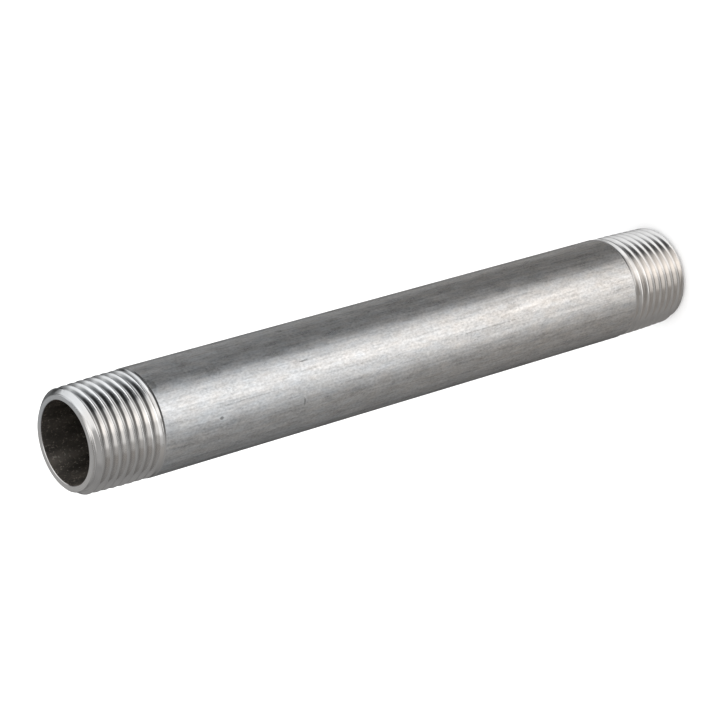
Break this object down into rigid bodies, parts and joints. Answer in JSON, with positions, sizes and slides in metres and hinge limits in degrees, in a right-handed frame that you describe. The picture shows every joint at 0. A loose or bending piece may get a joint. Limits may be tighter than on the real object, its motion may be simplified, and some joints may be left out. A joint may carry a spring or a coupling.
{
  "type": "double nipple",
  "caption": "Straight stainless pipe nipple, half-inch size and 150 mm long, with a tapered right-hand pipe thread cut on each end and an open bore right through.",
  "frame": {"origin": "centre of the lower end face, on the pipe's axis, at the surface that the nipple stands on", "axes": "+Z along the pipe's axis, from the lower end face to the upper one; X and Y are across the pipe"},
  "size_m": [0.0212, 0.0212, 0.15],
  "materials": {
    "stainless_steel": "satin pickled pipe with bright machined threads and end faces"
  },
  "bodies": {
    "root": {"double_nipple": "stainless_steel"}
  },
  "joints": []
}
